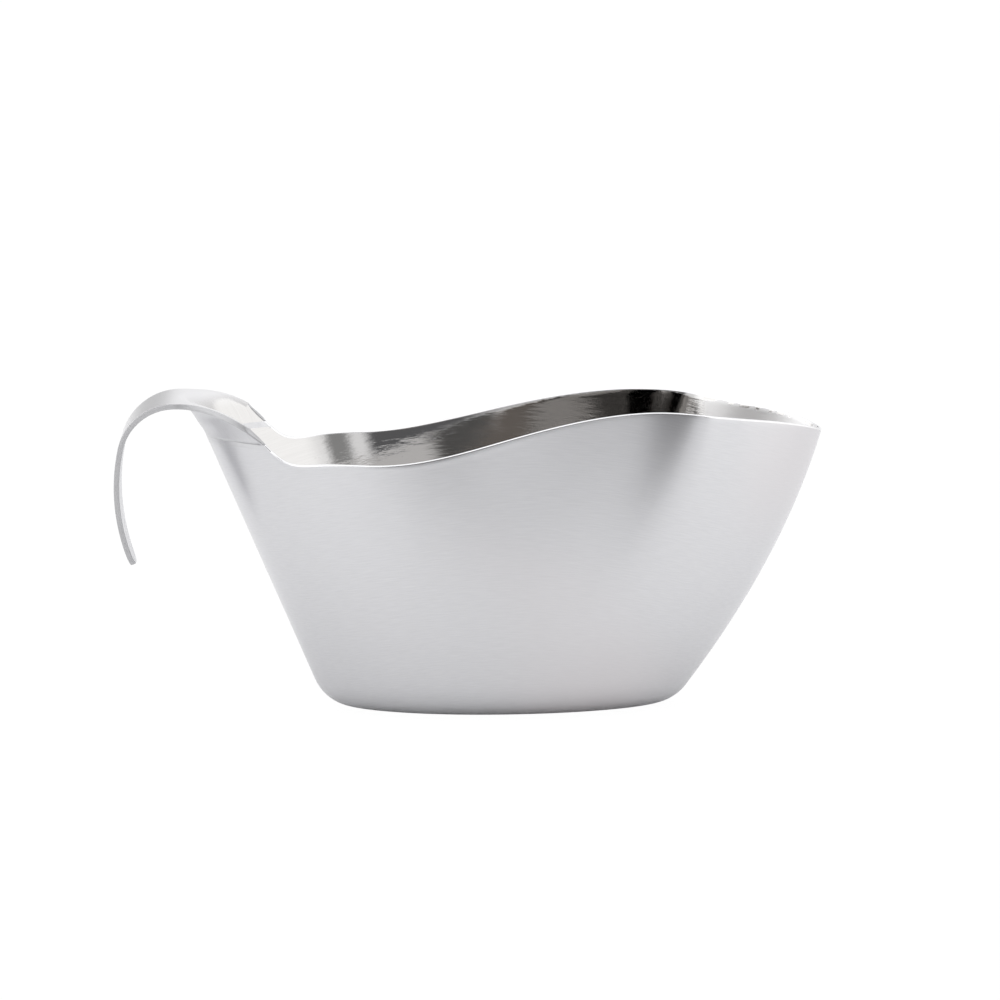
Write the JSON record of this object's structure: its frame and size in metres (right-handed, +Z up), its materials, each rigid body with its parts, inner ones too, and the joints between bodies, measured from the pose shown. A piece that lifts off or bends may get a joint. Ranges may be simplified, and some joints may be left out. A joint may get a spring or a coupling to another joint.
{
  "type": "sauce boat",
  "caption": "Stainless steel sauce boat with a flat-based oval bowl, a wavy rim drawn into a spout and an open strap handle curled over its back.",
  "frame": {"origin": "on the table, under the middle of the bowl's flat base", "axes": "+X along the boat towards the spout, +Y across it to the left of someone looking along +X, +Z up"},
  "size_m": [0.1988, 0.0684, 0.0888],
  "materials": {
    "brushed_steel": "satin brushed outside, mirror polished inside",
    "weld_metal": "ground and brushed"
  },
  "bodies": {
    "root": {"bowl": "brushed_steel", "handle_strap": "brushed_steel", "seam_weld": "weld_metal"}
  },
  "joints": []
}
